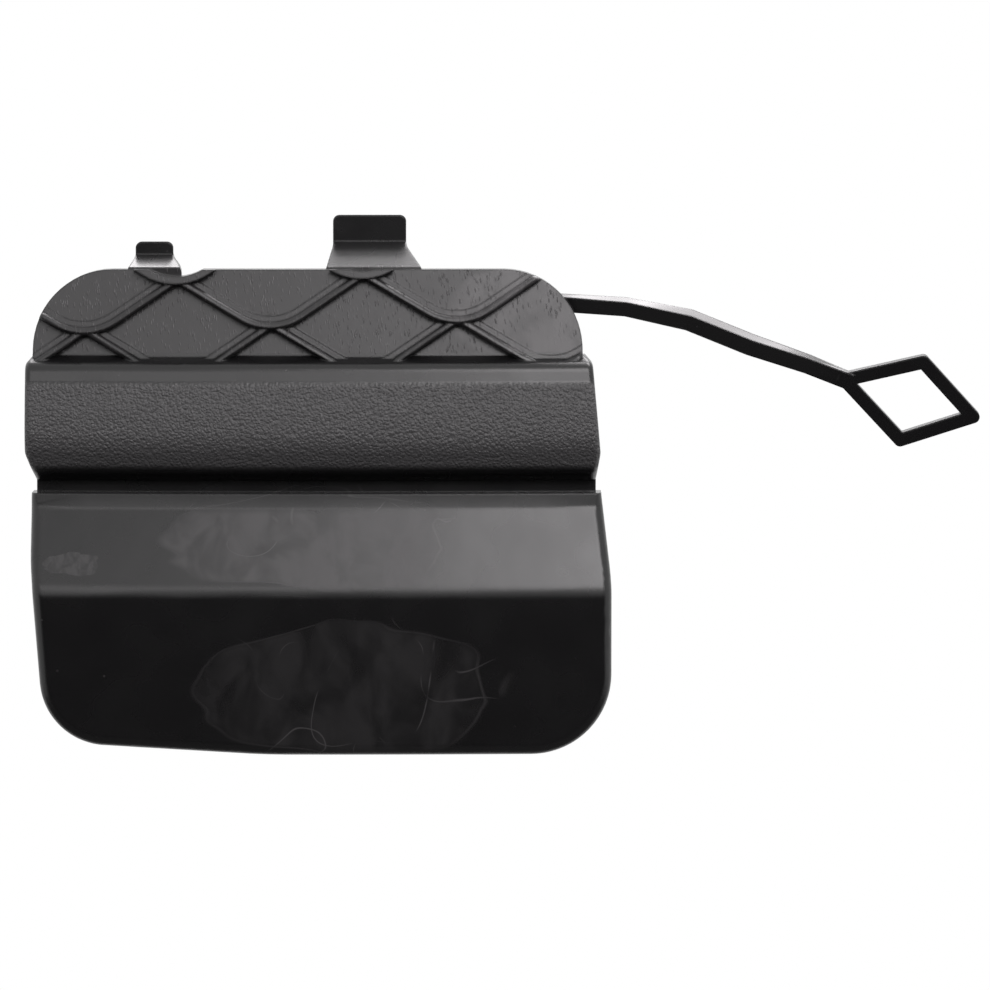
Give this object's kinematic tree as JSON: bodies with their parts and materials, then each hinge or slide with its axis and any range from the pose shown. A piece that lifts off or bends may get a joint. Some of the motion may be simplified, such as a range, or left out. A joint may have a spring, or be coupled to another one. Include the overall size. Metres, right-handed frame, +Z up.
{
  "type": "bumper tow hook cover",
  "caption": "Snap-in cover for the tow eye opening of a car bumper, with tongues, snap hooks and a moulded tether that ends in an open ring.",
  "frame": {"origin": "in the plane of the rim's rear edge, at the middle of the face", "axes": "+X to the right seen from the front, along the tether; +Y rearward, into the car; +Z up as fitted"},
  "size_m": [0.1498, 0.0217, 0.0838],
  "materials": {
    "black_plastic": "satin, with a fine grain on the middle band"
  },
  "bodies": {
    "root": {"tow_hook_cover": "black_plastic"}
  },
  "joints": []
}
